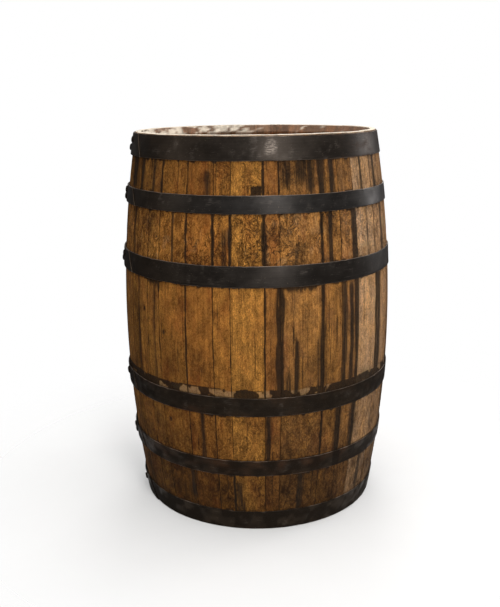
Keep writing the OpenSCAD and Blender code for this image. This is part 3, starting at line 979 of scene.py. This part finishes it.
def steel_material(name):
    """Dark rolled steel: mill lines, blue or brown scale, scuffs, bright edges, rust and dirt."""
    s = Shade(bpy.data.materials.new(name))
    strip = s.attribute("strip")
    rust, scuff, dirt = s.parts(s.attribute("wear"))
    blue = s.attribute("blue", vector=False)
    _, _, edge = s.parts(strip)
    mill = s.noise(strip, (6, 900, 0), 3.0, 0.6)
    cloud = s.noise(strip, (22, 30, 0), 4.0, 0.6)
    speck = s.noise(strip, (420, 420, 0), 3.0, 0.7)
    scratch = s.remap(s.noise(strip, (30, 700, 0), 2.0, 0.7, 0.6), 0.66, 0.74)

    scale = s.mix(blue, rgb(60, 49, 38), rgb(54, 52, 51))
    colour = s.mix(s.remap(cloud, 0.3, 0.7), s.brighten(scale, 0.6), scale)
    colour = s.mix(s.times(s.remap(mill, 0.35, 0.7), 0.12), colour, rgb(92, 84, 78))
    flecks = s.remap(s.noise(strip, (260, 300, 0), 2.0, 0.6), 0.66, 0.74)
    colour = s.mix(s.times(flecks, 0.45), colour, rgb(136, 120, 104))
    rough_rust = s.plus(rust, s.swing(speck, 0.9))
    rough_rust = s.plus(rough_rust, s.swing(cloud, 0.8))
    rusted = s.remap(rough_rust, 0.32, 0.85)
    colour = s.mix(s.times(rusted, 0.85), colour, s.mix(speck, rgb(34, 19, 9), rgb(78, 46, 24)))
    scuffed = s.times(scuff, s.remap(s.noise(strip, (90, 500, 0), 3.0, 0.7), 0.4, 0.65))
    colour = s.mix(s.times(scuffed, 0.7), colour, rgb(128, 118, 110))
    colour = s.mix(s.times(scratch, 0.22), colour, rgb(150, 142, 134))
    bright = s.remap(s.plus(edge, s.swing(cloud, 1.4)), 0.42, 0.10)
    colour = s.mix(s.times(bright, 0.70), colour, rgb(150, 134, 120))
    soiled = s.times(dirt, s.remap(speck, 0.2, 0.7, 0.60, 1.0))
    colour = s.mix(soiled, colour, rgb(20, 13, 6))

    matt = s.maths("MAXIMUM", rusted, dirt)
    rough = s.plus(s.remap(cloud, 0.3, 0.7, 0.30, 0.42), s.times(matt, 0.34))
    metal = s.remap(matt, 0.1, 0.8, 0.55, 0.0)
    deep = s.plus(s.times(speck, s.remap(matt, 0, 1, 0.15, 0.8)), s.times(mill, 0.12))
    s.bump(deep, 0.35 * MM, 0.7)
    s.shader.inputs["Specular IOR Level"].default_value = 0.10
    return s.finish(colour, rough, metal)


def dowel_material():
    """Bare turned oak, for the dowels inside the heads."""
    s = Shade(bpy.data.materials.new("dowel_oak"))
    place_of = s.node("TexCoord").outputs["Object"]
    fibre = s.noise(place_of, (500, 500, 60), 3.0, 0.6)
    colour = s.mix(fibre, rgb(150, 112, 70), rgb(205, 168, 120))
    s.bump(fibre, 0.3 * MM, 0.6)
    return s.finish(colour, s.remap(fibre, 0.3, 0.7, 0.75, 0.6))


# ---- stage, lights and camera

def floor():
    """A plain pale floor that fades into the white background."""
    angle = np.linspace(0, 2 * np.pi, FLOOR_SIDES, endpoint=False)
    drop = np.full_like(angle, -FLOOR_DROP)
    points = np.stack([FLOOR_R * np.cos(angle), FLOOR_R * np.sin(angle), drop], -1)
    mesh = bpy.data.meshes.new("studio_floor")
    mesh.from_pydata(points.tolist(), [], [list(range(FLOOR_SIDES))])
    piece = add_object("studio_floor", mesh)
    s = Shade(bpy.data.materials.new("pale_floor"))
    place_of = s.node("TexCoord").outputs["Object"]
    length = s.node("VectorMath", {0: place_of}, operation="LENGTH")
    s.give(s.shader.inputs["Alpha"], s.remap(length.outputs["Value"], *FLOOR_FADE, FLOOR_STRENGTH, 0.0))
    cloud = s.noise(place_of, (9, 9, 9), 3.0, 0.5)
    piece.data.materials.append(s.finish(s.mix(cloud, rgb(244, 243, 242), rgb(248, 248, 247)), 0.85))


def area_light(name, place_at, aim, size, watts, colour=(1, 1, 1)):
    """A soft rectangular light at a place, facing a point."""
    lamp = bpy.data.lights.new(name, "AREA")
    lamp.shape = "RECTANGLE"
    lamp.size, lamp.size_y = size
    lamp.energy = watts
    lamp.color = colour
    holder = add_object(name, lamp)
    holder.location = place_at
    holder.rotation_euler = (Vector(aim) - Vector(place_at)).to_track_quat("-Z", "Y").to_euler()


def background():
    """White to the eye, and a dim light on the barrel, weaker from below."""
    world = bpy.data.worlds.new("studio")
    bpy.context.scene.world = world
    s = Shade(world)
    seen = s.tree.nodes["Background"]
    s.give(seen.inputs["Color"], (1, 1, 1, 1))
    s.give(seen.inputs["Strength"], 1.0)
    _, _, upward = s.parts(s.node("TexCoord").outputs["Generated"])
    strength = s.remap(upward, -0.3, 0.4, 0.03, 0.17, "LINEAR")
    dim = s.node("Background", {"Color": (0.98, 0.98, 1.0, 1), "Strength": strength})
    is_camera = s.node("LightPath").outputs["Is Camera Ray"]
    either = s.node("MixShader", {0: is_camera, 1: dim.outputs[0], 2: seen.outputs[0]})
    s.give(s.tree.nodes["World Output"].inputs["Surface"], either.outputs[0])


def lights():
    """Soft key from the front right, strips for the hoops' highlights, a weak fill, top and back."""
    area_light("key", (0.72, -2.4, 1.9), (0, 0, 0.55), (0.8, 1.5), 42, (1.0, 0.985, 0.96))
    area_light("front_strip", (0.66, -2.4, 0.62), (0, 0, 0.55), (0.4, 1.0), 10, (1.0, 0.985, 0.97))
    area_light("right_strip", (2.1, 0.9, 1.2), (0, 0, 0.5), (0.7, 1.7), 15, (1.0, 0.97, 0.96))
    area_light("left_fill", (-2.3, -0.8, 1.2), (0, 0, 0.5), (0.6, 1.4), 4.8, (1.0, 0.95, 0.90))
    area_light("top", (0.1, -0.1, 3.0), (0, 0, 0.5), (1.4, 1.4), 42)
    area_light("back", (0.2, 2.6, 2.0), (0, 0, 0.5), (1.4, 1.4), 40)


def camera():
    """The camera, from its place and its three turns."""
    lens = bpy.data.cameras.new("camera")
    lens.lens = CAMERA_LENS
    lens.sensor_width = 36
    holder = add_object("camera", lens)
    level = Vector((math.sin(CAMERA_YAW), math.cos(CAMERA_YAW), 0)) * math.cos(CAMERA_DOWN)
    forward = level - Vector((0, 0, math.sin(CAMERA_DOWN)))
    right = Vector((math.cos(CAMERA_YAW), -math.sin(CAMERA_YAW), 0))
    up = right.cross(forward)
    turned_right = right * math.cos(CAMERA_ROLL) + up * math.sin(CAMERA_ROLL)
    turned_up = up * math.cos(CAMERA_ROLL) - right * math.sin(CAMERA_ROLL)
    matrix = Matrix((turned_right, turned_up, -forward)).transposed().to_4x4()
    matrix.translation = CAMERA_PLACE
    holder.matrix_world = matrix
    bpy.context.scene.camera = holder


# ---- assembly

camera()
floor()
background()
lights()
bpy.context.scene.view_settings.view_transform = "Standard"

stave_oak = oak_material("stave_oak", rgb(222, 154, 68), rgb(76, 43, 14), rgb(144, 76, 29))
head_oak = oak_material("head_oak", rgb(186, 138, 78), rgb(104, 68, 34), rgb(132, 80, 38))
bung_oak = oak_material("bung_oak", rgb(212, 170, 116), rgb(150, 106, 62), rgb(170, 112, 64))
hoop_steel = steel_material("hoop_steel")
rivet_steel = steel_material("rivet_steel")

for index, name in enumerate(STAVES):
    piece = stave(index, name)
    if name == "bung_stave":
        cut_bung_hole(piece)
    place(piece, stave_oak, "stave_oak", "barrel", name)
for h, name in enumerate(HOOPS):
    place(hoop(h, name), hoop_steel, "hoop_steel", "barrel", name)
    place(rivets(h, name + "_rivets"), rivet_steel, "rivet_steel", "barrel", name + "_rivets")
for index in range(HEAD_BOARDS):
    top = f"top_head_board_{index + 1:02d}"
    bottom = f"bottom_head_board_{index + 1:02d}"
    place(head_board(top, TOP_HEAD_TURN, True, index), head_oak, "head_oak", "barrel", top)
    place(head_board(bottom, BOTTOM_HEAD_TURN, False, index), head_oak, "head_oak", "barrel", bottom)
place(bung(), bung_oak, "bung_wood", "bung", "bung")
dowel_oak = dowel_material()
for name in ("top_head_dowels", "bottom_head_dowels"):
    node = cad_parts[name]
    node.data.materials.clear()
    node.data.materials.append(dowel_oak)
